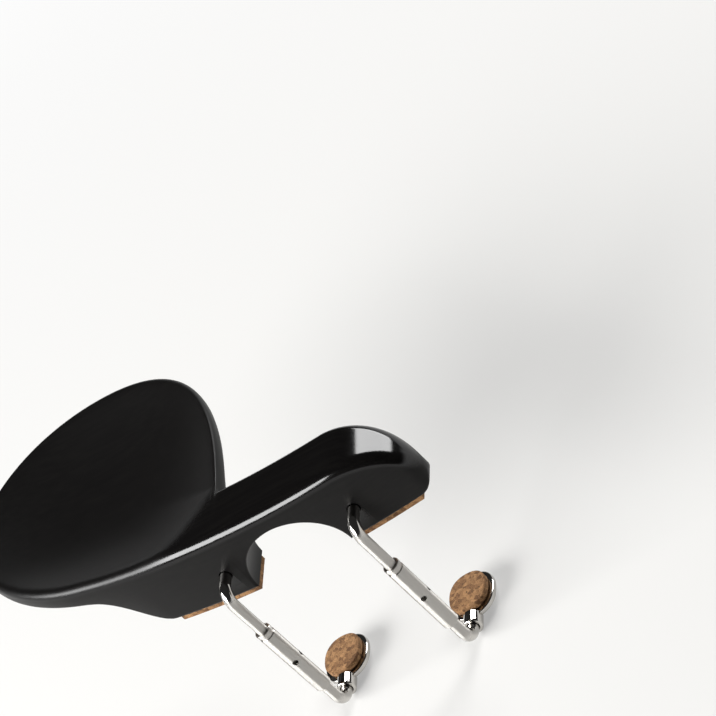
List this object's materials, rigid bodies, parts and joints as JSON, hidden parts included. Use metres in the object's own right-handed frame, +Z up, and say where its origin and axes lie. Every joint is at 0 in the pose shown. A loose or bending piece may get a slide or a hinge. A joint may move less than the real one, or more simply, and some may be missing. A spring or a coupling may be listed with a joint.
{
  "type": "violin chin rest",
  "caption": "Carved black chin rest with a scooped cup beside an arched arm, cork pads, and a turnbuckle clamp whose footed rods grip a violin's end.",
  "frame": {"origin": "on the top face of the violin's edge, at its end and midway between the two posts", "axes": "+X along the arm towards the treble side, +Y towards the violin's neck, +Z up out of the violin's top"},
  "size_m": [0.1329, 0.0804, 0.0661],
  "materials": {
    "ebony": "satin, oiled and rubbed",
    "nickel_plate": "polished",
    "cork": "matte"
  },
  "bodies": {
    "plate": {"chin_plate": "ebony", "plate_cork_left": "cork", "plate_cork_right": "cork", "upper_hook_left": "nickel_plate", "upper_hook_right": "nickel_plate"},
    "barrel_left": {"barrel_left": "nickel_plate"},
    "barrel_right": {"barrel_right": "nickel_plate"},
    "lower_clamp_left": {"lower_hook_left": "nickel_plate", "foot_plate_left": "nickel_plate", "foot_cork_left": "cork"},
    "lower_clamp_right": {"lower_hook_right": "nickel_plate", "foot_plate_right": "nickel_plate", "foot_cork_right": "cork"}
  },
  "joints": [
    {"name": "barrel_turn_left", "type": "hinge", "parent": "plate", "child": "barrel_left", "pos_m": [-0.0193, -0.0062, -0.0171], "axis": [0, 0, 1], "range_deg": [-2160, 1440]},
    {"name": "clamp_slide_left", "type": "slide", "parent": "plate", "child": "lower_clamp_left", "axis": [0, 0, 1], "range_m": [-0.006, 0.004]},
    {"name": "barrel_turn_right", "type": "hinge", "parent": "plate", "child": "barrel_right", "pos_m": [0.0193, -0.0062, -0.0171], "axis": [0, 0, 1], "range_deg": [-2160, 1440]},
    {"name": "clamp_slide_right", "type": "slide", "parent": "plate", "child": "lower_clamp_right", "axis": [0, 0, 1], "range_m": [-0.006, 0.004]}
  ],
  "couplings": [
    {"joint": "barrel_turn_left", "follows": "clamp_slide_left", "rad_per_m": 6283},
    {"joint": "barrel_turn_right", "follows": "clamp_slide_right", "rad_per_m": 6283}
  ]
}
